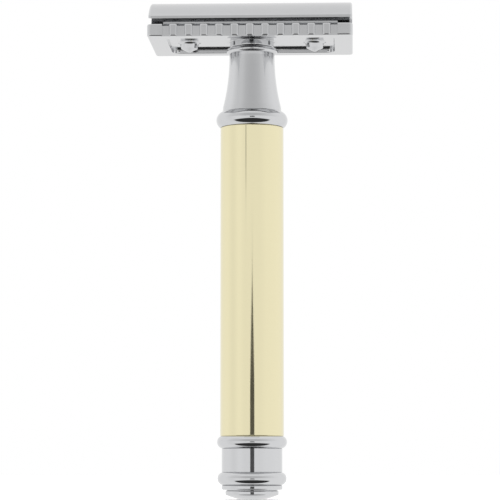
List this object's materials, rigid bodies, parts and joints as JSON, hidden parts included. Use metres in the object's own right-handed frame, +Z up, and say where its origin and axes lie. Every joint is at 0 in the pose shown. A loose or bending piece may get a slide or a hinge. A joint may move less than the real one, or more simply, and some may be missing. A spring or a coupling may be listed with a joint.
{
  "type": "safety razor",
  "caption": "Double-edge safety razor: curved cap over a bent blade and a recessed plate with scalloped safety bars, on a flared neck and a plated tube handle with beaded rings.",
  "frame": {"origin": "centre of the pommel's standing face", "axes": "+Z up the handle to the head, X along the head, Y from one blade edge to the other"},
  "size_m": [0.044, 0.025, 0.1078],
  "materials": {
    "chrome": "polished chrome plate",
    "gold_plate": "polished pale gold plate on a brass tube",
    "blade_steel": "rolled stainless strip with ground edges",
    "stud_steel": "machined and nickel plated",
    "machined_brass": "machined brass",
    "seal_rubber": "black nitrile rubber"
  },
  "bodies": {
    "handle": {"neck": "chrome", "neck_insert": "machined_brass", "neck_seal": "seal_rubber", "upper_collar_ring": "chrome", "handle_sleeve": "gold_plate", "core_rod": "stud_steel", "lower_plug": "machined_brass", "plug_seal": "seal_rubber", "lower_collar_ring": "chrome", "lower_band": "chrome", "pommel_ring": "chrome", "end_knob": "chrome", "lock_washer": "stud_steel"},
    "lower_head": {"base_plate": "chrome"},
    "upper_head": {"cap": "chrome", "cap_stud": "stud_steel"},
    "razor_blade": {"blade": "blade_steel"}
  },
  "joints": [
    {"name": "head_turn", "type": "hinge", "parent": "handle", "child": "lower_head", "pos_m": [0, 0, 0.09793], "axis": [0, 0, 1], "range_deg": [0, 2610]},
    {"name": "cap_lift", "type": "slide", "parent": "lower_head", "child": "upper_head", "axis": [0, 0, 1], "range_m": [0, 0.00581]},
    {"name": "blade_lift", "type": "slide", "parent": "lower_head", "child": "razor_blade", "axis": [0, 0, 1], "range_m": [0, 0.00291]}
  ],
  "couplings": [
    {"joint": "cap_lift", "follows": "head_turn", "m_per_rad": 0.00012732},
    {"joint": "blade_lift", "follows": "head_turn", "m_per_rad": 0.000063662}
  ]
}
